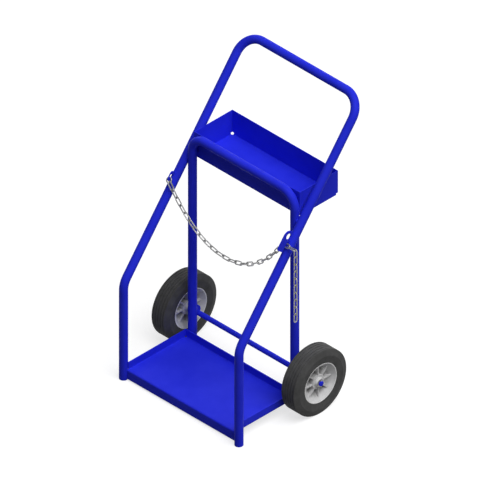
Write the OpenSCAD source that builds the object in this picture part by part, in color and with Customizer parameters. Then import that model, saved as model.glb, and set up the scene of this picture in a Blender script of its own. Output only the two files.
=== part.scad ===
// Gas cylinder cart: welded steel tube frame, folded trays, two wheels and a retaining chain.
// Millimetres. +Z is up, the handle leans back towards +Y, and X runs along the axle.
// The origin is on the ground, under the middle of the cart.

/* [Frame] */
// Distance between the centrelines of the two front legs
frame_w = 555; // [460:5:640]
// Outside diameter of the frame tube
tube_od = 31.75; // [28:0.25:38]
// Wall thickness of the frame tube
tube_wall = 2.1; // [1.5:0.1:3]
// Height of the upright part of the leg, up to where its knee begins
leg_h = 366; // [320:2:420]
// Bend radius of the knees, on the centreline
knee_bend_r = 76; // [50:1:100]
// Lean of the upper part of the side tube, in degrees from upright
lean_angle = 38.191; // [34:0.001:42]
// Length of the leaning side, from the end of the knee to the handle's centreline
lean_len = 931; // [860:1:1000]
// Bend radius of the handle's corners, on the centreline
handle_bend_r = 76; // [50:1:110]
// Distance from the front legs back to the rear hoop, between centrelines
hoop_back = 300; // [285:1:320]
// Height of the rear hoop's top rail, on its centreline
hoop_h = 876; // [860:1:900]
// Bend radius of the rear hoop's corners, on the centreline
hoop_bend_r = 60; // [45:1:80]
// Thickness of the discs that close the lower ends of the legs
foot_disc_t = 4; // [2:0.5:8]

/* [Base tray] */
// Sheet thickness of the base tray
base_sheet = 3; // [2:0.5:4]
// Height of the base tray's underside above the ground
base_floor_h = 40; // [30:1:60]
// Height of the base tray's side and rear lips
base_lip_h = 32; // [20:1:45]
// Height of the front flange's lower edge above the ground
base_flange_low_h = 5.4; // [3:0.1:15]
// Outside bend radius of the base tray's folds
base_fold_r = 6; // [5:0.5:9]

/* [Upper tray] */
// Width of the upper tray
tray_w = 508; // [430:1:512]
// Depth of the upper tray, front to back
tray_d = 184; // [150:1:220]
// Height of the upper tray's walls
tray_h = 100; // [80:1:104]
// Height of the upper tray's underside above the ground
tray_floor_h = 780; // [776:1:800]
// Sheet thickness of the upper tray
tray_sheet = 2; // [1.5:0.1:3]
// Outside bend radius of the upper tray's folds
tray_fold_r = 4; // [3.5:0.5:8]
// Radius of the corner reliefs cut at the ends of the folds
relief_r = 9; // [7:0.5:12]

/* [Axle] */
// Diameter of the axle bar
axle_d = 19.05; // [16:0.05:22]
// Thickness of the axle bracket plates
bracket_t = 6.35; // [4:0.05:10]
// Radius of the bracket plate round the axle
bracket_r = 23; // [18:0.5:30]
// Outside diameter of the spacer sleeves
spacer_od = 26; // [24:0.5:32]
// Diameter of the washers
washer_od = 30; // [28:0.5:40]
// Thickness of the washers
washer_t = 2; // [1.5:0.1:3]
// Diameter of the split pins
pin_d = 3.6; // [2.5:0.1:4]

/* [Wheels] */
// Diameter of the wheel over its tread
wheel_d = 254; // [200:1:300]
// Width of the tyre
tyre_w = 74; // [68:1:80]
// Distance from the middle of the cart to the middle of a wheel, beyond the leg's centreline
wheel_out = 34.7; // [33:0.1:45]
// Diameter of the rim's lips
rim_lip_d = 153; // [130:1:165]
// Diameter of the mouth that the rim's lips leave open
rim_mouth_d = 148; // [128:1:150]
// Width of the rim over its lips
rim_w = 67; // [56:1:80]
// Thickness of the dished rim wall
rim_wall = 4; // [3:0.5:5]
// Angle between the dished rim wall and the axle
dish_angle = 45; // [40:1:48]
// Diameter and length of the hub's round boss, which the ribs meet
boss_d = 56; // [50:1:62]
boss_len = 44; // [38:1:50]
// Diameter of the hub's tapered nose at the boss and at its end
nose_d = 40; // [34:1:44]
nose_end_d = 30; // [29:0.5:33]
// Length of the hub over its two noses
hub_len = 62; // [52:1:76]
// Thickness of the web disc between boss and rim
web_t = 6; // [4:0.5:10]
// Number of ribs on each face of the web
rib_count = 8; // [5:1:10]
// Thickness of a rib
rib_t = 5; // [4:0.5:8]
// Outside diameter of the plain bushes
bush_od = 25.4; // [24:0.1:30]
// Number of grooves round the tread
groove_count = 5; // [3:1:7]
// Depth of the tread grooves
groove_depth = 2.2; // [1:0.1:4]
// Width of the tread grooves
groove_w = 2.2; // [1:0.1:3]

/* [Chain] */
// Distance from link to link
chain_pitch = 29.6; // [28:0.1:32]
// Diameter of the chain's wire
chain_wire = 4.5; // [3.5:0.1:5.5]
// Width over a chain link
link_w = 17.5; // [16:0.1:20]
// Number of links that hang in the swag
swag_links = 23; // [21:1:26]
// Number of links that hang in the spare tail
tail_links = 10; // [3:1:12]
// Mean diameter of the ring that ties the chain to its tab
ring_d = 20; // [18:0.5:24]
// Place of the hooked link along the leaning tube, measured from the end of the knee
chain_along = 368.7; // [340:0.1:400]
// Distance of the hooked link in front of the leaning tube's centreline
chain_off = 23.9; // [22:0.1:26]

/* [Chain plates] */
// Thickness of the two chain plates
plate_t = 4; // [3:0.5:6]
// Distance from the tube's centreline to the left tab's front edge
tab_reach = 38.5; // [37:0.5:42]
// Length of the left tab along the tube
tab_len = 38; // [35:1:44]
// Diameter of the left tab's hole
tab_hole_d = 15; // [13:0.5:17]
// Place of the left tab's hole along the leaning tube, measured from the end of the knee
tab_along = 377.7; // [350:0.1:410]
// Distance of the left tab's hole in front of the tube's centreline
tab_off = 27.9; // [26:0.1:29]
// Corner radius of the left tab
tab_corner_r = 10; // [5:0.5:12]
// Distance from the tube's centreline to the hook plate's front edge
hook_reach = 57.5; // [54:0.5:66]
// Length of the hook plate above the chain
hook_above = 52.5; // [48:0.5:70]
// Length of the hook plate below the chain
hook_below = 27; // [18:0.5:36]
// Diameter of the hook plate's round hole
hook_hole_d = 22.5; // [16:0.5:24]
// Radius of the hook plate's upper corner
hook_corner_r = 24; // [18:0.5:26]
// Distance from the tube's centreline to the chain slot's front edge
slot_reach = 27; // [26.5:0.1:30]
// Length of the chain slot above the chain
slot_above = 13.5; // [11:0.5:18]
// Radius of the hook finger's lower corners
finger_corner_r = 8; // [4:0.5:12]

/* [Fits] */
// Radial running clearance between bush and axle
run_clear = 0.08; // [0.03:0.01:0.1]
// Gap between the wheel's hub and its washers, and between washer and pin
side_play = 0.3; // [0.2:0.05:0.5]
// Gap left between chain links where they hook into each other
link_play = 0.3; // [0.2:0.05:0.5]

/* [Hidden] */

// Every cut runs past its solid by this much
overrun = 1;
$fn = 64;
// Round sides of the long bent tubes
tube_facets = 44;

// Frame, worked out from the driving sizes
tube_r = tube_od / 2;
tube_in_r = tube_r - tube_wall;
side_x = frame_w / 2;
hoop_x = side_x - tube_od;
knee_y = knee_bend_r * (1 - cos(lean_angle));
knee_z = leg_h + knee_bend_r * sin(lean_angle);
mid_y = (knee_y + lean_len * sin(lean_angle)) / 2;

// Wheels and axle
axle_r = axle_d / 2;
axle_y = hoop_back + tube_r + axle_r;
axle_z = wheel_d / 2;
wheel_x = side_x + wheel_out;
bracket_face_x = hoop_x + tube_r;
hub_in_x = wheel_x - hub_len / 2;
hub_out_x = wheel_x + hub_len / 2;
pin_x = hub_out_x + washer_t + 2 * side_play + pin_d / 2;
pin_clear = 0.1;
axle_end_x = pin_x + pin_d;
axle_chamfer = axle_d / 12;

// Chain: a link's inner length is the pitch and a little play
link_in_l = chain_pitch + link_play;
link_crown_r = (link_w - chain_wire) / 2;
link_straight = link_in_l - (link_w - 2 * chain_wire);
crown_out = (link_in_l + chain_wire) / 2;
// A place (X, Y, Z) from its X, its distance up the leaning tube and its distance in front of it
function lean_point(x, along, off) = [
    x,
    knee_y + along * sin(lean_angle) - off * cos(lean_angle),
    knee_z + along * cos(lean_angle) + off * sin(lean_angle)
];
hooked_at = lean_point(side_x, chain_along, chain_off);
chain_y = hooked_at[1];
chain_z = hooked_at[2];

// Moves the cart's own frame, which starts at the front legs, to the middle of the cart
module placed() {
    translate([0, -mid_y, 0]) children();
}

// Turns a flat outline (across, up) into a plate that stands fore and aft, centred on its thickness
module upright_plate(thickness) {
    rotate([90, 0, 90]) linear_extrude(thickness, center = true) children();
}

// Carries children onto the leaning side: local Z runs up it from the end of the knee,
// and local -Y points to its front
module on_lean() {
    translate([0, knee_bend_r, leg_h]) rotate([-lean_angle, 0, 0])
        translate([0, -knee_bend_r, 0]) children();
}

// A round bar between two places along one axis
module bar_z(r, from, to) {
    translate([0, 0, from]) cylinder(r = r, h = to - from);
}
module bar_x(r, from, to) {
    translate([from, 0, 0]) rotate([0, 90, 0]) cylinder(r = r, h = to - from);
}

// A bend of a round bar about the local Z axis, from local +X
module bend(r, bend_r, angle) {
    rotate_extrude(angle = angle) translate([bend_r, 0]) circle(r = r);
}

// Frame tube: its section, a straight run along local Z, and a bend about local Z
module tube_section() {
    difference() {
        circle(r = tube_r, $fn = tube_facets);
        circle(r = tube_in_r, $fn = tube_facets);
    }
}
module tube_run(from, to) {
    translate([0, 0, from]) linear_extrude(to - from) tube_section();
}
module tube_bend(bend_r, angle) {
    rotate_extrude(angle = angle, $fn = tube_facets) translate([bend_r, 0]) tube_section();
}

// A thin band inside the tube's wall, across the place where a run and a bend meet
module wall_band() {
    translate([0, 0, -tube_wall]) linear_extrude(2 * tube_wall) difference() {
        circle(r = tube_r - tube_wall / 4, $fn = tube_facets);
        circle(r = tube_in_r + tube_wall / 4, $fn = tube_facets);
    }
}

// One bent tube: front leg, knee, leaning side, handle corner, and the same down the other side
module side_loop_half() {
    translate([side_x, 0, 0]) {
        tube_run(0, leg_h);
        translate([0, knee_bend_r, leg_h]) rotate([90, 0, -90]) tube_bend(knee_bend_r, lean_angle);
    }
    on_lean() {
        translate([side_x, 0, 0]) {
            tube_run(0, lean_len - handle_bend_r);
            wall_band();
        }
        translate([side_x - handle_bend_r, 0, lean_len - handle_bend_r]) rotate([90, 0, 0])
            tube_bend(handle_bend_r, 90);
    }
}

module side_loop_tube() {
    color("mediumblue") placed() {
        side_loop_half();
        mirror([1, 0, 0]) side_loop_half();
        on_lean() translate([0, 0, lean_len]) rotate([0, 90, 0])
            tube_run(handle_bend_r - side_x, side_x - handle_bend_r);
    }
}

// Upside-down U behind the base tray, between the leaning sides
module hoop_half() {
    translate([hoop_x, hoop_back, 0]) tube_run(base_floor_h, hoop_h - hoop_bend_r);
    translate([hoop_x - hoop_bend_r, hoop_back, hoop_h - hoop_bend_r]) rotate([90, 0, 0])
        tube_bend(hoop_bend_r, 90);
}

module rear_hoop_tube() {
    color("mediumblue") placed() {
        hoop_half();
        mirror([1, 0, 0]) hoop_half();
        translate([0, hoop_back, hoop_h]) rotate([0, 90, 0])
            tube_run(hoop_bend_r - hoop_x, hoop_x - hoop_bend_r);
    }
}

// Discs welded into the open ends of the two legs
module leg_foot_discs() {
    color("mediumblue") placed() for (side = [-1, 1])
        translate([side * side_x, 0, 0]) cylinder(r = tube_in_r, h = foot_disc_t);
}

// Folded sheet: a quarter bend and an upstand, drawn as inward distance and height
module fold_outline(rise, sheet, fold_r) {
    translate([0, fold_r]) square([sheet, rise - fold_r]);
    translate([fold_r, fold_r]) intersection() {
        difference() {
            circle(r = fold_r);
            circle(r = fold_r - sheet);
        }
        translate([-fold_r, -fold_r]) square(fold_r);
    }
}

// A wall folded up along local X, its outer face at local Y = 0
module folded_wall(length, rise, sheet, fold_r) {
    translate([-length / 2, 0, 0]) rotate([90, 0, 90]) linear_extrude(length)
        fold_outline(rise, sheet, fold_r);
}

// Base tray: side and rear lips folded up, front edge folded down
base_w = frame_w - tube_od;
base_d = hoop_back - tube_r;
base_flange_h = base_floor_h + base_sheet - base_flange_low_h;

module base_side_lip() {
    translate([base_w / 2, (base_d + base_fold_r) / 2, 0]) rotate([0, 0, 90])
        folded_wall(base_d - base_fold_r, base_lip_h, base_sheet, base_fold_r);
}

module base_tray() {
    color("blue") placed() translate([0, 0, base_floor_h]) difference() {
        union() {
            translate([base_fold_r - base_w / 2, base_fold_r, 0])
                cube([base_w - 2 * base_fold_r, base_d - 2 * base_fold_r, base_sheet]);
            base_side_lip();
            mirror([1, 0, 0]) base_side_lip();
            translate([0, base_d, 0]) rotate([0, 0, 180])
                folded_wall(base_w, base_lip_h, base_sheet, base_fold_r);
            translate([0, 0, base_sheet]) mirror([0, 0, 1])
                folded_wall(base_w, base_flange_h, base_sheet, base_fold_r);
        }
        for (side = [-1, 1])
            translate([side * base_w / 2, base_d, -overrun])
                cylinder(r = relief_r, h = base_fold_r + overrun);
    }
}

// Upper tray: an open box of four folded walls with a relief hole in each bottom corner
tray_front_y = hoop_back + tube_r;

module tray_end_wall() {
    translate([tray_w / 2, 0, 0]) rotate([0, 0, 90])
        folded_wall(tray_d, tray_h, tray_sheet, tray_fold_r);
}

module tray_long_wall() {
    translate([0, -tray_d / 2, 0]) folded_wall(tray_w, tray_h, tray_sheet, tray_fold_r);
}

module upper_tray() {
    color("blue") placed() translate([0, tray_front_y + tray_d / 2, tray_floor_h]) difference() {
        union() {
            translate([tray_fold_r - tray_w / 2, tray_fold_r - tray_d / 2, 0])
                cube([tray_w - 2 * tray_fold_r, tray_d - 2 * tray_fold_r, tray_sheet]);
            tray_end_wall();
            mirror([1, 0, 0]) tray_end_wall();
            tray_long_wall();
            mirror([0, 1, 0]) tray_long_wall();
        }
        for (side = [-1, 1], back = [-1, 1])
            translate([side * tray_w / 2, back * tray_d / 2, -overrun])
                cylinder(r = relief_r, h = relief_r + overrun);
    }
}

// Axle, its brackets, sleeves, washers and pins
module at_axle() {
    placed() translate([0, axle_y, axle_z]) children();
}

module axle_bar() {
    color("blue") at_axle() difference() {
        rotate([0, 90, 0]) rotate_extrude() polygon([
            [0, -axle_end_x],
            [axle_r - axle_chamfer, -axle_end_x],
            [axle_r, axle_chamfer - axle_end_x],
            [axle_r, axle_end_x - axle_chamfer],
            [axle_r - axle_chamfer, axle_end_x],
            [0, axle_end_x]
        ]);
        for (side = [-1, 1])
            translate([side * pin_x, 0, 0]) bar_z(pin_d / 2 + pin_clear, -axle_d, axle_d);
    }
}

// A plate behind the hoop's upright, rounded about the axle and cut to fit the tube
module axle_bracket(side) {
    color("blue") difference() {
        at_axle() translate([side * (bracket_face_x - bracket_t / 2), 0, 0]) upright_plate(bracket_t)
            difference() {
                union() {
                    circle(r = bracket_r);
                    translate([hoop_back - axle_y, -bracket_r]) square([axle_y - hoop_back, 2 * bracket_r]);
                }
                circle(r = axle_r);
            }
        placed() translate([side * hoop_x, hoop_back, 0])
            bar_z(tube_r, axle_z - bracket_r - overrun, axle_z + bracket_r + overrun);
    }
}
module left_axle_bracket() { axle_bracket(-1); }
module right_axle_bracket() { axle_bracket(1); }

// A ring on the axle, from one distance to another along it, on one side of the cart
module axle_ring(side, outer_r, inner_r, from, to) {
    at_axle() rotate([0, side * 90, 0]) difference() {
        bar_z(outer_r, from, to);
        bar_z(inner_r, from - overrun, to + overrun);
    }
}

inner_washer_x = hub_in_x - side_play - washer_t;
outer_washer_x = hub_out_x + side_play;
washer_bore_r = axle_r + run_clear;

module axle_spacer(side) {
    color("blue") axle_ring(side, spacer_od / 2, axle_r, bracket_face_x, inner_washer_x);
}
module left_axle_spacer() { axle_spacer(-1); }
module right_axle_spacer() { axle_spacer(1); }

module washer(side, from) {
    color("silver") axle_ring(side, washer_od / 2, washer_bore_r, from, from + washer_t);
}
module left_inner_washer() { washer(-1, inner_washer_x); }
module left_outer_washer() { washer(-1, outer_washer_x); }
module right_inner_washer() { washer(1, inner_washer_x); }
module right_outer_washer() { washer(1, outer_washer_x); }

// Split pin: a round shank through the axle, with a ring for its eye above
pin_below = axle_r + pin_d;
pin_above = axle_r + pin_d / 2;
pin_eye_r = pin_d * 1.15;

module split_pin(side) {
    color("silver") at_axle() translate([side * pin_x, 0, 0]) {
        bar_z(pin_d / 2, -pin_below, pin_above);
        translate([0, 0, pin_above + pin_eye_r - pin_d / 4]) rotate([0, 90, 0])
            rotate_extrude() translate([pin_eye_r, 0]) circle(r = pin_d / 3);
    }
}
module left_split_pin() { split_pin(-1); }
module right_split_pin() { split_pin(1); }

// Wheels, drawn about local Z, the wheel's own axis, and then turned onto the axle
module on_wheel(side) {
    at_axle() translate([side * wheel_x, 0, 0]) rotate([0, side * 90, 0]) children();
}

tread_r = wheel_d / 2;
lip_r = rim_lip_d / 2;
mouth_r = rim_mouth_d / 2;
rim_half = rim_w / 2;
// The dished wall runs in a vee from both lips to the web, and the rubber fills the vee outside
dish_slope = tan(dish_angle);
groove_r = mouth_r - rim_half * dish_slope + rim_wall / cos(dish_angle);
lip_in_half = (lip_r - groove_r) / dish_slope;
web_r = mouth_r - (rim_half - web_t / 2) * dish_slope;
// Shares of the tyre's half width and height that place its shoulder
shoulder_in_share = 0.79;
shoulder_drop_share = 0.45;
sidewall_drop_share = 0.93;
sidewall_height = tread_r - lip_r;
tyre_half = tyre_w / 2;
tread_half = tyre_half * shoulder_in_share;
groove_step = 2 * tread_half / groove_count;

// Tyre section as radius and place across the tyre
module tyre_outline() {
    polygon([
        [groove_r, 0],
        [lip_r, -lip_in_half],
        [lip_r, -rim_half],
        [tread_r - sidewall_height * sidewall_drop_share, -tyre_half],
        [tread_r - sidewall_height * shoulder_drop_share, -tyre_half],
        [tread_r, -tread_half],
        [tread_r, tread_half],
        [tread_r - sidewall_height * shoulder_drop_share, tyre_half],
        [tread_r - sidewall_height * sidewall_drop_share, tyre_half],
        [lip_r, rim_half],
        [lip_r, lip_in_half]
    ]);
}

module tyre(side) {
    color("dimgray") on_wheel(side) rotate_extrude() difference() {
        tyre_outline();
        for (i = [0 : groove_count - 1])
            translate([tread_r - groove_depth, (i - (groove_count - 1) / 2) * groove_step - groove_w / 2])
                square([groove_depth + overrun, groove_w]);
    }
}
module left_tyre() { tyre(-1); }
module right_tyre() { tyre(1); }

// Hub casting: dished rim wall with lips, web disc, boss with a tapered nose at each end, and ribs
boss_r = boss_d / 2;
boss_half = boss_len / 2;
boss_chamfer = boss_r / 20;
// Share of the boss's height that the ribs reach
rib_rise_share = 0.96;
rib_half = boss_half * rib_rise_share;
// A rib ends in the middle of the dished wall
rib_end_r = (web_r + groove_r) / 2;

module rim_outline() {
    polygon([
        [web_r, web_t / 2],
        [mouth_r, rim_half],
        [lip_r, rim_half],
        [lip_r, lip_in_half],
        [groove_r, 0],
        [lip_r, -lip_in_half],
        [lip_r, -rim_half],
        [mouth_r, -rim_half],
        [web_r, -web_t / 2]
    ]);
}

module boss_outline() {
    polygon([
        [0, -hub_len / 2],
        [nose_end_d / 2, -hub_len / 2],
        [nose_d / 2, -boss_half],
        [boss_r - boss_chamfer, -boss_half],
        [boss_r, boss_chamfer - boss_half],
        [boss_r, boss_half - boss_chamfer],
        [boss_r - boss_chamfer, boss_half],
        [nose_d / 2, boss_half],
        [nose_end_d / 2, hub_len / 2],
        [0, hub_len / 2]
    ]);
}

// A pair of ribs, one on each face of the web, from the boss to where they run out on the dished wall
module rib_pair() {
    rotate([90, 0, 0]) linear_extrude(rib_t, center = true) polygon([
        [boss_r - rib_t, -rib_half],
        [rib_end_r + rib_half * dish_slope, -rib_half],
        [rib_end_r, 0],
        [rib_end_r + rib_half * dish_slope, rib_half],
        [boss_r - rib_t, rib_half]
    ]);
}

module wheel_hub(side) {
    color("lightgray") on_wheel(side) difference() {
        union() {
            rotate_extrude() {
                rim_outline();
                boss_outline();
                translate([0, -web_t / 2]) square([rib_end_r, web_t]);
            }
            for (i = [0 : rib_count - 1])
                rotate([0, 0, i * 360 / rib_count]) rib_pair();
        }
        bar_z(bush_od / 2, -hub_len / 2 - overrun, hub_len / 2 + overrun);
    }
}
module left_wheel_hub() { wheel_hub(-1); }
module right_wheel_hub() { wheel_hub(1); }

// Plain bushes, one pressed in from each end of the hub
bush_gap = hub_len / 6;
bush_bore_r = axle_r + run_clear;

module bush(side, from, to) {
    color("ivory") axle_ring(side, bush_od / 2, bush_bore_r, from, to);
}
module left_inner_bush() { bush(-1, hub_in_x, wheel_x - bush_gap / 2); }
module left_outer_bush() { bush(-1, wheel_x + bush_gap / 2, hub_out_x); }
module right_inner_bush() { bush(1, hub_in_x, wheel_x - bush_gap / 2); }
module right_outer_bush() { bush(1, wheel_x + bush_gap / 2, hub_out_x); }

// Chain tab on the left leaning tube: the chain's ring goes through its hole and round its foot
tab_hole_r = tab_hole_d / 2;
ring_top_along = tab_along - tab_hole_r + chain_wire / 2 + link_play;

// A plate outline (front to back, up) from the tube forward, with both front corners rounded
module rounded_tab(reach, low, high, corner_r) {
    translate([-reach, low + corner_r]) square([reach, high - low - 2 * corner_r]);
    translate([corner_r - reach, low]) square([reach - corner_r, high - low]);
    for (z = [low + corner_r, high - corner_r])
        translate([corner_r - reach, z]) circle(r = corner_r);
}

module left_chain_tab() {
    color("blue") placed() on_lean() translate([-side_x, 0, 0]) difference() {
        upright_plate(plate_t) difference() {
            rounded_tab(tab_reach, tab_along - tab_len / 2, tab_along + tab_len / 2, tab_corner_r);
            translate([-tab_off, tab_along]) circle(r = tab_hole_r);
        }
        bar_z(tube_r, tab_along - tab_len, tab_along + tab_len);
    }
}

// Hook plate on the right leaning tube: a round hole above a slot that holds one link edge-on
hook_low = chain_along - hook_below;
hook_high = chain_along + hook_above;
hook_hole_off = hook_reach - hook_corner_r;
hook_hole_along = hook_high - hook_corner_r + (hook_corner_r - hook_hole_d / 2) / 4;
slot_top = chain_along + slot_above;
slot_w = slot_reach - tube_r;

module hook_outline() {
    translate([-hook_reach, hook_low + finger_corner_r])
        square([hook_reach, hook_high - hook_low - finger_corner_r - hook_corner_r]);
    translate([hook_corner_r - hook_reach, hook_high - hook_corner_r])
        square([hook_reach - hook_corner_r, hook_corner_r]);
    translate([hook_corner_r - hook_reach, hook_high - hook_corner_r]) circle(r = hook_corner_r);
    translate([finger_corner_r - hook_reach, hook_low])
        square([hook_reach - finger_corner_r, finger_corner_r + overrun]);
    translate([finger_corner_r - hook_reach, hook_low + finger_corner_r]) circle(r = finger_corner_r);
}

module slot_outline() {
    translate([-slot_reach, hook_low - overrun])
        square([slot_reach, slot_top - slot_w / 2 - hook_low + overrun]);
    translate([-(slot_reach + tube_r) / 2, slot_top - slot_w / 2]) circle(r = slot_w / 2);
}

module right_chain_hook() {
    color("blue") placed() on_lean() translate([side_x, 0, 0]) difference() {
        upright_plate(plate_t) difference() {
            hook_outline();
            slot_outline();
            translate([-hook_hole_off, hook_hole_along]) circle(r = hook_hole_d / 2);
        }
        bar_z(tube_r, hook_low - overrun, hook_high + overrun);
    }
}

// Chain: one link lies along local X, flat in the local XY plane, centred on its middle
module chain_link() {
    for (end = [0, 180])
        rotate([0, 0, end]) translate([link_straight / 2, 0, 0]) rotate([0, 0, -90])
            bend(chain_wire / 2, link_crown_r, 180);
    for (side = [-1, 1])
        translate([0, side * link_crown_r, 0])
            bar_x(chain_wire / 2, -link_straight / 2, link_straight / 2);
}

// The ring lies along the tube, round the tab's foot; the swag pulls on its inner lower side
ring_pull_angle = 43;
ring_centre_along = ring_top_along - ring_d / 2;
pull_at = lean_point(
    ring_d / 2 * sin(ring_pull_angle) - side_x,
    ring_centre_along - ring_d / 2 * cos(ring_pull_angle),
    tab_off
);

module chain_ring() {
    color("silver") placed() on_lean() translate([-side_x, -tab_off, ring_centre_along])
        rotate([90, 0, 0]) rotate_extrude() translate([ring_d / 2, 0]) circle(r = chain_wire / 2);
}

// The swag is a row of equal rigid links: the tangent of each link's slope grows evenly
function swag_slope(i, k) = atan(k * (i - (swag_links - 1) / 2));
function swag_run(k, i = 0) =
    i == swag_links ? 0 : chain_pitch * cos(swag_slope(i, k)) + swag_run(k, i + 1);
function swag_rate(want, low, high, tries) =
    tries == 0 ? (low + high) / 2
    : swag_run((low + high) / 2) > want ? swag_rate(want, (low + high) / 2, high, tries - 1)
    : swag_rate(want, low, (low + high) / 2, tries - 1);
function swag_x(i, k) = i == 0 ? 0 : swag_x(i - 1, k) + chain_pitch * cos(swag_slope(i - 1, k));
function swag_z(i, k) = i == 0 ? 0 : swag_z(i - 1, k) + chain_pitch * sin(swag_slope(i - 1, k));

// Links meet half a wire from the wires of the ring and the hooked link, along the end links
end_slope = 62;
hook_pull_angle = 40;
hook_meet_slope = 45;
meet_reach = (chain_wire + link_play) / 2;
ring_meet_reach = meet_reach + link_play / 2;
swag_start = pull_at + ring_meet_reach * [-cos(end_slope), 0, sin(end_slope)];
hook_pull_at = hooked_at
    - [link_straight / 2 + link_crown_r * cos(hook_pull_angle), 0, 0]
    - link_crown_r * sin(hook_pull_angle) * [0, sin(lean_angle), cos(lean_angle)];
swag_end = hook_pull_at + meet_reach * [cos(hook_meet_slope), 0, sin(hook_meet_slope)];
swag_span = swag_end - swag_start;
swag_turn = atan2(swag_span[1], swag_span[0]);
swag_tilt = asin(swag_span[2] / norm(swag_span));
k_swag = swag_rate(norm(swag_span), 0, 1, 40);
// Each link is turned a quarter turn on from the last one, and the whole swag twists a little
swag_twist = -15;

module chain_swag() {
    color("silver") placed() translate(swag_start) rotate([0, 0, swag_turn]) rotate([0, -swag_tilt, 0])
        for (i = [0 : swag_links - 1])
            translate([
                (swag_x(i, k_swag) + swag_x(i + 1, k_swag)) / 2,
                0,
                (swag_z(i, k_swag) + swag_z(i + 1, k_swag)) / 2
            ])
                rotate([0, -swag_slope(i, k_swag), 0])
                    rotate([(i % 2) * 90 + swag_twist * i / (swag_links - 1), 0, 0]) chain_link();
}

// The link in the hook's slot, and the link beside it that the tail hangs from
module hooked_chain_link() {
    color("silver") placed() translate(hooked_at) rotate([90 - lean_angle, 0, 0]) chain_link();
}

side_link_roll = lean_angle / 2;
module side_chain_link() {
    color("silver") placed() translate(hooked_at + [chain_pitch, 0, 0])
        rotate([-side_link_roll, 0, 0]) chain_link();
}

// The tail's first link rests on the side link's wire, and the others hang below it
tail_x = side_x + chain_pitch + crown_out;
tail_top_z = chain_z + chain_wire / cos(side_link_roll) + link_play / 2 - crown_out;

module tail_link(i) {
    placed() translate([tail_x, chain_y, tail_top_z - i * chain_pitch])
        rotate([0, 90, 0]) rotate([(i % 2) * 90 + 90, 0, 0]) chain_link();
}

module tail_top_link() {
    color("silver") tail_link(0);
}

module chain_tail() {
    color("silver") for (i = [1 : tail_links - 1]) tail_link(i);
}

side_loop_tube();
rear_hoop_tube();
leg_foot_discs();
base_tray();
upper_tray();
axle_bar();
left_axle_bracket();
right_axle_bracket();
left_axle_spacer();
right_axle_spacer();
left_chain_tab();
right_chain_hook();
chain_ring();
hooked_chain_link();
side_chain_link();
left_inner_washer();
left_outer_washer();
right_inner_washer();
right_outer_washer();
left_split_pin();
right_split_pin();
left_tyre();
left_wheel_hub();
left_inner_bush();
left_outer_bush();
right_tyre();
right_wheel_hub();
right_inner_bush();
right_outer_bush();
chain_swag();
tail_top_link();
chain_tail();
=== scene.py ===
# Gas cylinder cart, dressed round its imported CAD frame. Metres, with +Z up and the handle towards +Y.
import math

import bmesh
import bpy
from mathutils import Matrix, Vector


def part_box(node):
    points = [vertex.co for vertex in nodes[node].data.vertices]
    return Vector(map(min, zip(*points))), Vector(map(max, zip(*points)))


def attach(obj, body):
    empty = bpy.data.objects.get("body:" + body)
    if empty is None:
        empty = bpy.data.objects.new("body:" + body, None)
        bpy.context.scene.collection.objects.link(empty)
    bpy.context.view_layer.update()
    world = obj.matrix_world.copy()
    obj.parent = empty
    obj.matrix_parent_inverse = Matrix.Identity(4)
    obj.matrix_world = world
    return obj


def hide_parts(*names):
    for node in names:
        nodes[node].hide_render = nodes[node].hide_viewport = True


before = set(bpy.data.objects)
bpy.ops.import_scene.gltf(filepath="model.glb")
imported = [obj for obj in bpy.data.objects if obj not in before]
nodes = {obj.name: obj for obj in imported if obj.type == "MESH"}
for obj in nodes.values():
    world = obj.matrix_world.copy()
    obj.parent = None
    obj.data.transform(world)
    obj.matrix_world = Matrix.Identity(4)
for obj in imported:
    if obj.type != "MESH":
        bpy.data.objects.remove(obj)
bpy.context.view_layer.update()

# View: the photograph is an isometric picture of the cart, so the camera has no perspective.
# It looks along a cube's diagonal, from the right, the front and above.
PHOTO_WIDTH_PX = 480
PX_PER_METRE = 294.16
VIEW_MIDDLE = Vector((0, -0.0134, 0.5723))
VIEW_BACK = Vector((1, -1, 1)).normalized()
VIEW_DISTANCE = 4.0

camera = bpy.data.objects.new("camera", bpy.data.cameras.new("camera"))
camera.data.type = "ORTHO"
camera.data.ortho_scale = PHOTO_WIDTH_PX / PX_PER_METRE
camera.data.clip_end = 3 * VIEW_DISTANCE
camera.location = VIEW_MIDDLE + VIEW_DISTANCE * VIEW_BACK
camera.rotation_euler = VIEW_BACK.to_track_quat("Z", "Y").to_euler()
bpy.context.scene.collection.objects.link(camera)
bpy.context.scene.camera = camera
bpy.context.scene.view_settings.view_transform = "Standard"

# Studio: a white sheet on the floor of a white room, one very broad lamp high on the right, a weak one
# behind on the left, and a weak even light from all round. Tops are bright and fronts are dark.
HIGH_LAMP_FROM = Vector((0.42, 0, 0.9))
HIGH_LAMP_STRENGTH = 2.95
BACK_LAMP_FROM = Vector((-0.7, 0.7, 0.3))
BACK_LAMP_STRENGTH = 0.8
LAMP_SPREAD = math.radians(54)
ROOM_LIGHT = 0.09
FLOOR_HALF = 9.0
FLOOR_DROP = 0.0004
PAPER_SEEN = (0.4, 0.4, 0.4, 1)
PAPER_BOUNCE = (0.16, 0.16, 0.16, 1)
PAPER_GLOW = 0.7

for name, lamp_from, lamp_strength in (
    ("high_lamp", HIGH_LAMP_FROM, HIGH_LAMP_STRENGTH),
    ("back_lamp", BACK_LAMP_FROM, BACK_LAMP_STRENGTH),
):
    lamp = bpy.data.objects.new(name, bpy.data.lights.new(name, "SUN"))
    lamp.data.energy = lamp_strength
    lamp.data.angle = LAMP_SPREAD
    lamp.rotation_euler = lamp_from.to_track_quat("Z", "Y").to_euler()
    bpy.context.scene.collection.objects.link(lamp)


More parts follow.
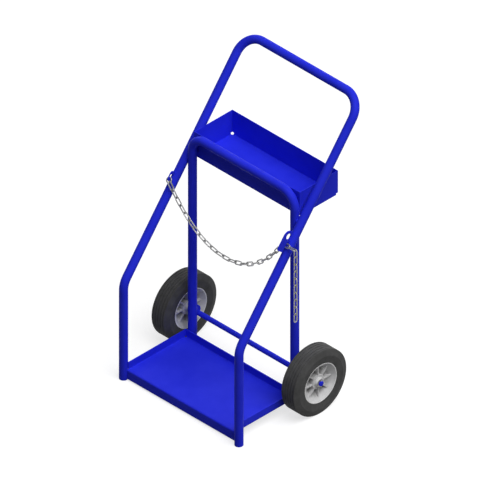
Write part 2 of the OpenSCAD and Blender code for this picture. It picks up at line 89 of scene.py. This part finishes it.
def looked_at(tree):
    """1 for what the camera, a reflection or a see-through piece shows, and 0 for plain light."""
    ray = tree.nodes.new("ShaderNodeLightPath")
    seen = ray.outputs["Is Camera Ray"]
    for kind in ("Is Glossy Ray", "Is Transmission Ray"):
        either = tree.nodes.new("ShaderNodeMath")
        either.operation = "MAXIMUM"
        tree.links.new(seen, either.inputs[0])
        tree.links.new(ray.outputs[kind], either.inputs[1])
        seen = either.outputs[0]
    return seen


def mixed_colour(tree, share, first, second):
    """The first colour where the share is 0, the second where it is 1. Either may come from a node."""
    made = tree.nodes.new("ShaderNodeMix")
    made.data_type = "RGBA"
    tree.links.new(share, made.inputs["Factor"])
    for side, colour in (("A", first), ("B", second)):
        if isinstance(colour, bpy.types.NodeSocket):
            tree.links.new(colour, made.inputs[side])
        else:
            made.inputs[side].default_value = colour
    return made.outputs["Result"]


room = bpy.data.worlds.new("white_room")
room.use_nodes = True
bpy.context.scene.world = room
tree = room.node_tree
strength = tree.nodes.new("ShaderNodeMapRange")
strength.inputs["To Min"].default_value = ROOM_LIGHT
tree.links.new(looked_at(tree), strength.inputs["Value"])
tree.nodes["Background"].inputs["Color"].default_value = (1, 1, 1, 1)
tree.links.new(strength.outputs["Result"], tree.nodes["Background"].inputs["Strength"])

paper = bpy.data.materials.new("white_paper")
paper.use_nodes = True
tree = paper.node_tree
shader = tree.nodes["Principled BSDF"]
shader.inputs["Roughness"].default_value = 1.0
shader.inputs["Specular IOR Level"].default_value = 0.0
seen = looked_at(tree)
tree.links.new(mixed_colour(tree, seen, PAPER_BOUNCE, PAPER_SEEN), shader.inputs["Base Color"])
glow = tree.nodes.new("ShaderNodeMath")
glow.operation = "MULTIPLY"
glow.inputs[1].default_value = PAPER_GLOW
tree.links.new(seen, glow.inputs[0])
shader.inputs["Emission Color"].default_value = (1, 1, 1, 1)
tree.links.new(glow.outputs[0], shader.inputs["Emission Strength"])

sheet = bmesh.new()
bmesh.ops.create_grid(sheet, x_segments=1, y_segments=1, size=FLOOR_HALF)
bmesh.ops.translate(sheet, verts=sheet.verts, vec=(0, 0, -FLOOR_DROP))
floor = bpy.data.objects.new("floor", bpy.data.meshes.new("floor"))
sheet.to_mesh(floor.data)
sheet.free()
floor.data.materials.append(paper)
bpy.context.scene.collection.objects.link(floor)

# Side loop: one long steel tube, bent into both front legs, both leaning sides and the handle, with
# discs welded into its open ends. All the steelwork is powder coated blue after it is welded.
BLUE = (0.0195, 0.0290, 0.70, 1)
BLUE_THIN = (0.0240, 0.0350, 0.74, 1)
BLUE_PATCH = 0.06
COAT_CLOUD = 0.02
COAT_SMOOTH = 0.40
COAT_DULL = 0.50
COAT_SHINE = 0.03
PEEL_SIZE = 0.0016
PEEL_HEIGHT = 0.000025
NOISE_LOW = 0.3
NOISE_HIGH = 0.7


def new_finish(name):
    """A new material, with its nodes and its main shader."""
    made = bpy.data.materials.new(name)
    made.use_nodes = True
    return made, made.node_tree, made.node_tree.nodes["Principled BSDF"]


def speckle(tree, size, low, high):
    """A number that wanders from low to high, in grains of about that size in metres."""
    place = tree.nodes.new("ShaderNodeTexCoord")
    noise = tree.nodes.new("ShaderNodeTexNoise")
    noise.inputs["Scale"].default_value = 1 / size
    tree.links.new(place.outputs["Object"], noise.inputs["Vector"])
    stretch = tree.nodes.new("ShaderNodeMapRange")
    stretch.inputs["From Min"].default_value = NOISE_LOW
    stretch.inputs["From Max"].default_value = NOISE_HIGH
    stretch.inputs["To Min"].default_value = low
    stretch.inputs["To Max"].default_value = high
    tree.links.new(noise.outputs["Fac"], stretch.inputs["Value"])
    return stretch.outputs["Result"]


def roughened(tree, shader, size, height):
    """Bumps of that size and height in metres over a shader."""
    bump = tree.nodes.new("ShaderNodeBump")
    bump.inputs["Distance"].default_value = height
    tree.links.new(speckle(tree, size, 0, 1), bump.inputs["Height"])
    tree.links.new(bump.outputs["Normal"], shader.inputs["Normal"])


def give_finish(name, finish):
    """Gives a CAD node a better finish in its own material slots."""
    for place in nodes[name].material_slots:
        place.material = finish


blue_coat, tree, shader = new_finish("blue_powder_coat")
patches = speckle(tree, BLUE_PATCH, 0, 1)
tree.links.new(mixed_colour(tree, patches, BLUE, BLUE_THIN), shader.inputs["Base Color"])
tree.links.new(speckle(tree, COAT_CLOUD, COAT_SMOOTH, COAT_DULL), shader.inputs["Roughness"])
shader.inputs["Specular IOR Level"].default_value = COAT_SHINE
roughened(tree, shader, PEEL_SIZE, PEEL_HEIGHT)
give_finish("side_loop_tube", blue_coat)
give_finish("leg_foot_discs", blue_coat)

# Rear hoop: a second tube bent to an upside-down U. It stands inside the two leaning sides, touches
# each of them at one spot, and is welded there with a bead that runs round the spot.
LEAN = math.radians(38.191)
WELD_WIDTH = 0.0044
WELD_RIPPLE = 0.0028
RIPPLE_DIP_SHARE = 0.84
BEAD_STEPS = 10
TOUCH_RING_R = 0.0085
TOUCH_RING_STEPS = 28
SMOOTH_BELOW = math.radians(40)
MERGE_WITHIN = 1e-6

hoop_low, hoop_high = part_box("rear_hoop_tube")
loop_low, loop_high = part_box("side_loop_tube")
tube_r = (hoop_high.y - hoop_low.y) / 2
hoop_x = hoop_high.x - tube_r
hoop_y = (hoop_low.y + hoop_high.y) / 2
handle_y = loop_high.y - tube_r
handle_z = loop_high.z - tube_r
touch_z = handle_z - (handle_y - hoop_y) / math.tan(LEAN)


def finished_piece(name, mesh, finish, body):
    """Makes a piece of a bmesh, with that finish, which rides on a body."""
    piece = bpy.data.objects.new(name, bpy.data.meshes.new(name))
    mesh.to_mesh(piece.data)
    mesh.free()
    piece.data.shade_smooth()
    piece.data.set_sharp_from_angle(angle=SMOOTH_BELOW)
    piece.data.materials.append(finish)
    bpy.context.scene.collection.objects.link(piece)
    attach(piece, body)
    return piece


def add_turned(mesh, outline, steps, place):
    """Spins an outline of (radius, height) points about Z, puts it in place and adds it to a mesh."""
    turned = bmesh.new()
    corners = [turned.verts.new((radius, 0, height)) for radius, height in outline]
    sides = [turned.edges.new(pair) for pair in zip(corners, corners[1:])]
    bmesh.ops.spin(
        turned, geom=corners + sides, angle=math.tau, steps=steps, axis=(0, 0, 1), use_merge=True,
    )
    bmesh.ops.remove_doubles(turned, verts=turned.verts, dist=MERGE_WITHIN)
    bmesh.ops.recalc_face_normals(turned, faces=turned.faces)
    bmesh.ops.transform(turned, matrix=place, verts=turned.verts)
    made = bpy.data.meshes.new("turned")
    turned.to_mesh(made)
    turned.free()
    mesh.from_mesh(made)
    bpy.data.meshes.remove(made)


def lay_weld(mesh, start, end):
    """Adds a straight rippled weld bead from one point to the other."""
    start, end = Vector(start), Vector(end)
    length = (end - start).length
    ripples = max(2, round(length / WELD_RIPPLE))
    outline = [(0, 0)]
    for i in range(2 * ripples - 1):
        dip = RIPPLE_DIP_SHARE if i % 2 else 1
        outline.append((dip * WELD_WIDTH / 2, (i + 1) * length / (2 * ripples)))
    outline.append((0, length))
    turn = (end - start).to_track_quat("Z", "Y").to_matrix().to_4x4()
    add_turned(mesh, outline, BEAD_STEPS, Matrix.Translation(start) @ turn)


def weld_ring(mesh, middle, radius):
    """Adds a ring of weld round a spot where two tubes touch side by side."""
    corners = [math.tau * i / BEAD_STEPS for i in range(BEAD_STEPS + 1)]
    outline = [(radius + WELD_WIDTH / 2 * math.cos(a), WELD_WIDTH / 2 * math.sin(a)) for a in corners]
    place = Matrix.Translation(middle) @ Matrix.Rotation(math.pi / 2, 4, "Y")
    add_turned(mesh, outline, TOUCH_RING_STEPS, place)


give_finish("rear_hoop_tube", blue_coat)
touch_welds = bmesh.new()
for side in (-1, 1):
    weld_ring(touch_welds, Vector((side * (hoop_x + tube_r), hoop_y, touch_z)), TOUCH_RING_R)
finished_piece("hoop_touch_welds", touch_welds, blue_coat, "frame")

# Trays: sheet steel, cut flat, with its edges folded up and round reliefs at the corners of the folds.
# The cut edges are broken with a file. Short beads weld the trays to the tubes that they touch.
SHEET_EDGE = 0.0004
EDGE_STEPS = 2
SHARP_CORNER = math.radians(32)
FLAT_WITHIN = math.radians(0.5)
WELD_NOTCH_SHARE = 0.38
BASE_WELD_LOW = 0.047
BASE_WELD_HIGH = 0.070
UPPER_WELD_LOW = 0.006
UPPER_WELD_HIGH = 0.032
STITCH_GAP = 0.12
STITCH_LENGTH = 0.03


def rounded_piece(node, mesh, corner, edge, finish, body):
    """Rounds a mesh's corners that are sharper than an angle, and lets the piece stand for a node."""
    sharp = [rim for rim in mesh.edges if rim.is_manifold and rim.calc_face_angle() > corner]
    bmesh.ops.bevel(
        mesh, geom=sharp, offset=edge, offset_type="OFFSET", segments=EDGE_STEPS, profile=0.5,
        affect="EDGES", clamp_overlap=True, material=-1,
    )
    piece = finished_piece(node + "_finished", mesh, finish, body)
    piece.modifiers.new("flat_faces", "WEIGHTED_NORMAL").keep_sharp = True
    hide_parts(node)


def softened(node, edge, finish, body):
    """Makes a copy of a CAD node, with its sharp corners rounded, which stands for the node."""
    mesh = bmesh.new()
    mesh.from_mesh(nodes[node].data)
    bmesh.ops.remove_doubles(mesh, verts=mesh.verts, dist=MERGE_WITHIN)
    bmesh.ops.dissolve_limit(mesh, angle_limit=FLAT_WITHIN, verts=mesh.verts, edges=mesh.edges)
    rounded_piece(node, mesh, SHARP_CORNER, edge, finish, body)


def upright_weld(mesh, x, y, low, high):
    """Adds a weld bead that stands upright, from one height to the other."""
    lay_weld(mesh, (x, y, low), (x, y, high))


for name in ("base_tray", "upper_tray"):
    softened(name, SHEET_EDGE, blue_coat, "frame")

base_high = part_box("base_tray")[1]
upper_low, upper_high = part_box("upper_tray")
leg_y = loop_low.y + tube_r
notch = WELD_NOTCH_SHARE * tube_r
upper_span = (upper_low.z + UPPER_WELD_LOW, upper_low.z + UPPER_WELD_HIGH)
tray_welds = bmesh.new()
for side in (-1, 1):
    upright_weld(tray_welds, side * base_high.x, leg_y + notch, BASE_WELD_LOW, BASE_WELD_HIGH)
    for across in (-notch, notch):
        seam_x = side * hoop_x + across
        upright_weld(tray_welds, seam_x, base_high.y, BASE_WELD_LOW, BASE_WELD_HIGH)
        upright_weld(tray_welds, seam_x, upper_low.y, *upper_span)
rim_z = upper_high.z - WELD_WIDTH / 2
for middle in (-STITCH_GAP, 0, STITCH_GAP):
    left_end, right_end = middle - STITCH_LENGTH / 2, middle + STITCH_LENGTH / 2
    lay_weld(tray_welds, (left_end, upper_low.y, rim_z), (right_end, upper_low.y, rim_z))
finished_piece("tray_welds", tray_welds, blue_coat, "frame")

# Axle: a round bar with chamfered ends. Two plates behind the hoop's uprights carry it, welded to
# the tubes, and a sleeve on each side keeps the wheel off its plate.
PLATE_WELD_SETBACK = 0.003

for name in ("axle_bar", "left_axle_spacer", "right_axle_spacer"):
    give_finish(name, blue_coat)
for name in ("left_axle_bracket", "right_axle_bracket"):
    softened(name, SHEET_EDGE, blue_coat, "frame")

plate_low, plate_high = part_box("right_axle_bracket")
plate_span = (plate_low.z + PLATE_WELD_SETBACK, plate_high.z - PLATE_WELD_SETBACK)
inner_seam_y = hoop_y + math.sqrt(tube_r ** 2 - (plate_low.x - hoop_x) ** 2)
bracket_welds = bmesh.new()
for side in (-1, 1):
    upright_weld(bracket_welds, side * plate_low.x, inner_seam_y, *plate_span)
    upright_weld(bracket_welds, side * plate_high.x, hoop_y + notch, *plate_span)
finished_piece("bracket_welds", bracket_welds, blue_coat, "frame")

# Chain plates: a small tab on the left and a larger hook plate on the right, cut from flat plate and
# welded edge-on to the front of the leaning tubes, with a bead down each face.
PLATE_EDGE = 0.0005
TAB_WELD_BELOW_HANDLE = (0.570, 0.537)
HOOK_WELD_BELOW_HANDLE = (0.546, 0.513)

up_lean = Vector((0, math.sin(LEAN), math.cos(LEAN)))
out_front = Vector((0, -math.cos(LEAN), math.sin(LEAN)))
plate_welds = bmesh.new()
for name, (low_end, high_end) in (
    ("left_chain_tab", TAB_WELD_BELOW_HANDLE),
    ("right_chain_hook", HOOK_WELD_BELOW_HANDLE),
):
    softened(name, PLATE_EDGE, blue_coat, "frame")
    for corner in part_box(name):
        root = Vector((corner.x, handle_y, handle_z)) + tube_r * out_front
        lay_weld(plate_welds, root - low_end * up_lean, root - high_end * up_lean)
finished_piece("plate_welds", plate_welds, blue_coat, "frame")

# Tyres: solid black rubber, moulded round the rims, with five grooves round the tread and a sloping
# shoulder. The side runs in a shallow cone from the shoulder down to the rim's lip, and the tyre's
# foot is a vee that fills the rim.
TREAD_HALF = 0.02923
SHOULDER_R = 0.1043
RIM_HALF = 0.0335
RIM_LIP_R = 0.0765
RIM_VEE_R = 0.0462
GROOVES = 5
GROOVE_WIDTH = 0.0022
GROOVE_DEPTH = 0.0022
TYRE_STEPS = 144
MOULD_EDGE = 0.0004
SHOULDER_CORNER = math.radians(12)
TYRE_DARK = (0.058, 0.058, 0.058, 1)
TYRE_WORN = (0.080, 0.080, 0.080, 1)
TYRE_DUST = 0.03
RUBBER_MOTTLE = 0.00375
RUBBER_SMOOTH = 0.62
RUBBER_DULL = 0.78
RUBBER_SHINE = 0.12
RUBBER_GRAIN = 0.0009
RUBBER_GRAIN_HEIGHT = 0.00005

rubber, tree, shader = new_finish("tyre_rubber")
dust = speckle(tree, TYRE_DUST, 0, 1)
tree.links.new(mixed_colour(tree, dust, TYRE_DARK, TYRE_WORN), shader.inputs["Base Color"])
tree.links.new(speckle(tree, RUBBER_MOTTLE, RUBBER_SMOOTH, RUBBER_DULL), shader.inputs["Roughness"])
shader.inputs["Specular IOR Level"].default_value = RUBBER_SHINE
roughened(tree, shader, RUBBER_GRAIN, RUBBER_GRAIN_HEIGHT)

for side in ("left", "right"):
    tyre_low, tyre_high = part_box(side + "_tyre")
    tread_r = (tyre_high.z - tyre_low.z) / 2
    side_x = (tyre_high.x - tyre_low.x) / 2
    outline = [(RIM_VEE_R, 0), (RIM_LIP_R, -RIM_HALF), (SHOULDER_R, -side_x), (tread_r, -TREAD_HALF)]
    for i in range(GROOVES):
        middle = ((i + 0.5) / GROOVES * 2 - 1) * TREAD_HALF
        for edge in (-GROOVE_WIDTH / 2, GROOVE_WIDTH / 2):
            lip_and_floor = [(tread_r, middle + edge), (tread_r - GROOVE_DEPTH, middle + edge)]
            outline += lip_and_floor if edge < 0 else reversed(lip_and_floor)
    outline += [(tread_r, TREAD_HALF), (SHOULDER_R, side_x), (RIM_LIP_R, RIM_HALF), (RIM_VEE_R, 0)]
    tyre = bmesh.new()
    along_x = Matrix.Rotation(math.pi / 2, 4, "Y")
    add_turned(tyre, outline, TYRE_STEPS, Matrix.Translation((tyre_low + tyre_high) / 2) @ along_x)
    rounded_piece(side + "_tyre", tyre, SHOULDER_CORNER, MOULD_EDGE, rubber, side + "_wheel")

# Wheel hubs: one light alloy casting each, with dished sides, a web, a boss, a tapered nose and eight
# ribs on each side. Its corners are a little round and its skin is shot blasted. The rim's lip is
# painted as a brighter ring, a painted highlight, and the dishes are painted darker deep towards the
# web, as dust and painted shade.
CAST_EDGE = 0.0007
CAST_LIGHT = (0.66, 0.66, 0.665, 1)
CAST_DARK = (0.58, 0.58, 0.585, 1)
# The dark tone for dust and painted shade deep in the dishes.
CAST_DUST_AND_SHADE = (0.20, 0.198, 0.192, 1)
CAST_CLOUD = 0.012
CAST_MOTTLE = 0.006
CAST_SMOOTH = 0.45
CAST_DULL = 0.58
CAST_SHINE = 0.08
BLAST_SIZE = 0.0008
BLAST_HEIGHT = 0.00004
DUST_AND_SHADE_DEEP = 0.004
DUST_AND_SHADE_SHALLOW = 0.021
# The colour of the painted highlight on the rim's lip.
LIP_HIGHLIGHT = (0.90, 0.90, 0.90, 1)
LIP_WIDTH = 0.0032
LIP_FADE = 0.00032


def along_axle(tree, middle):
    """How far a spot is from the axle's line, and from the wheel's middle plane, in metres."""
    place = tree.nodes.new("ShaderNodeTexCoord")
    split = tree.nodes.new("ShaderNodeSeparateXYZ")
    tree.links.new(place.outputs["Object"], split.inputs[0])
    away = tree.nodes.new("ShaderNodeMath")
    away.operation = "ABSOLUTE"
    tree.links.new(split.outputs["X"], away.inputs[0])
    depth = tree.nodes.new("ShaderNodeMath")
    depth.operation = "SUBTRACT"
    depth.inputs[1].default_value = middle.x
    tree.links.new(away.outputs[0], depth.inputs[0])
    side_on = tree.nodes.new("ShaderNodeMath")
    side_on.operation = "ABSOLUTE"
    tree.links.new(depth.outputs[0], side_on.inputs[0])
    flat = tree.nodes.new("ShaderNodeVectorMath")
    flat.operation = "SUBTRACT"
    flat.inputs[1].default_value = (0, middle.y, middle.z)
    tree.links.new(place.outputs["Object"], flat.inputs[0])
    across = tree.nodes.new("ShaderNodeVectorMath")
    across.operation = "MULTIPLY"
    across.inputs[1].default_value = (0, 1, 1)
    tree.links.new(flat.outputs[0], across.inputs[0])
    radius = tree.nodes.new("ShaderNodeVectorMath")
    radius.operation = "LENGTH"
    tree.links.new(across.outputs[0], radius.inputs[0])
    return radius.outputs["Value"], side_on.outputs[0]


def ramp(tree, value, low, high):
    """0 where a value is low, 1 where it is high, and in between in a straight line."""
    made = tree.nodes.new("ShaderNodeMapRange")
    made.inputs["From Min"].default_value = low
    made.inputs["From Max"].default_value = high
    tree.links.new(value, made.inputs["Value"])
    return made.outputs["Result"]


casting, tree, shader = new_finish("cast_alloy")
hub_low, hub_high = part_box("right_wheel_hub")
radius, side_on = along_axle(tree, (hub_low + hub_high) / 2)
cloud = speckle(tree, CAST_CLOUD, 0, 1)
clean = mixed_colour(tree, cloud, CAST_DARK, CAST_LIGHT)
# Dust and painted shade: the dishes are painted darker deep towards the web, where shade falls.
dust_and_shade = mixed_colour(tree, cloud, CAST_DUST_AND_SHADE, CAST_DARK)
skin = mixed_colour(tree, ramp(tree, side_on, DUST_AND_SHADE_DEEP, DUST_AND_SHADE_SHALLOW), dust_and_shade, clean)
lip_low = (hub_high.z - hub_low.z) / 2 - LIP_WIDTH
# Painted highlight: a thin brighter ring round the rim's lip.
on_lip_highlight = ramp(tree, radius, lip_low, lip_low + LIP_FADE)
tree.links.new(mixed_colour(tree, on_lip_highlight, skin, LIP_HIGHLIGHT), shader.inputs["Base Color"])
tree.links.new(speckle(tree, CAST_MOTTLE, CAST_SMOOTH, CAST_DULL), shader.inputs["Roughness"])
shader.inputs["Specular IOR Level"].default_value = CAST_SHINE
roughened(tree, shader, BLAST_SIZE, BLAST_HEIGHT)
for side in ("left", "right"):
    softened(side + "_wheel_hub", CAST_EDGE, casting, side + "_wheel")

# Bushes: plain bearings of pale plastic, one pressed into each end of each hub. They turn with the
# wheel on the bare axle and need no oil.
BUSH_PALE = (0.72, 0.70, 0.62, 1)
BUSH_DARK = (0.66, 0.64, 0.56, 1)
BUSH_CLOUD = 0.004
BUSH_DULL = 0.5
BUSH_GRAIN = 0.0006
BUSH_GRAIN_HEIGHT = 0.00002

bush_plastic, tree, shader = new_finish("bush_plastic")
cloud = speckle(tree, BUSH_CLOUD, 0, 1)
tree.links.new(mixed_colour(tree, cloud, BUSH_DARK, BUSH_PALE), shader.inputs["Base Color"])
shader.inputs["Roughness"].default_value = BUSH_DULL
roughened(tree, shader, BUSH_GRAIN, BUSH_GRAIN_HEIGHT)
for side in ("left", "right"):
    for kind in ("_inner_bush", "_outer_bush"):
        give_finish(side + kind, bush_plastic)

# Chain, washers and split pins: steel with bright zinc plate. The chain's links are bent from round
# wire and butt welded. Every second one lies flat, and the rest stand on edge.
ZINC_LIGHT = (0.40, 0.40, 0.395, 1)
ZINC_DARK = (0.19, 0.19, 0.187, 1)
ZINC_CLOUD = 0.005
ZINC_MOTTLE = 0.0025
ZINC_SMOOTH = 0.30
ZINC_DULL = 0.44
ZINC_METAL = 0.75
ZINC_SHINE = 0.2
ZINC_GRAIN = 0.0007
ZINC_GRAIN_HEIGHT = 0.00002

zinc, tree, shader = new_finish("zinc_plate")
cloud = speckle(tree, ZINC_CLOUD, 0, 1)
tree.links.new(mixed_colour(tree, cloud, ZINC_DARK, ZINC_LIGHT), shader.inputs["Base Color"])
tree.links.new(speckle(tree, ZINC_MOTTLE, ZINC_SMOOTH, ZINC_DULL), shader.inputs["Roughness"])
shader.inputs["Metallic"].default_value = ZINC_METAL
shader.inputs["Specular IOR Level"].default_value = ZINC_SHINE
roughened(tree, shader, ZINC_GRAIN, ZINC_GRAIN_HEIGHT)
for name in (
    "chain_ring", "hooked_chain_link", "side_chain_link", "chain_swag", "tail_top_link", "chain_tail",
):
    give_finish(name, zinc)
for side in ("left", "right"):
    for kind in ("_inner_washer", "_outer_washer", "_split_pin"):
        give_finish(side + kind, zinc)
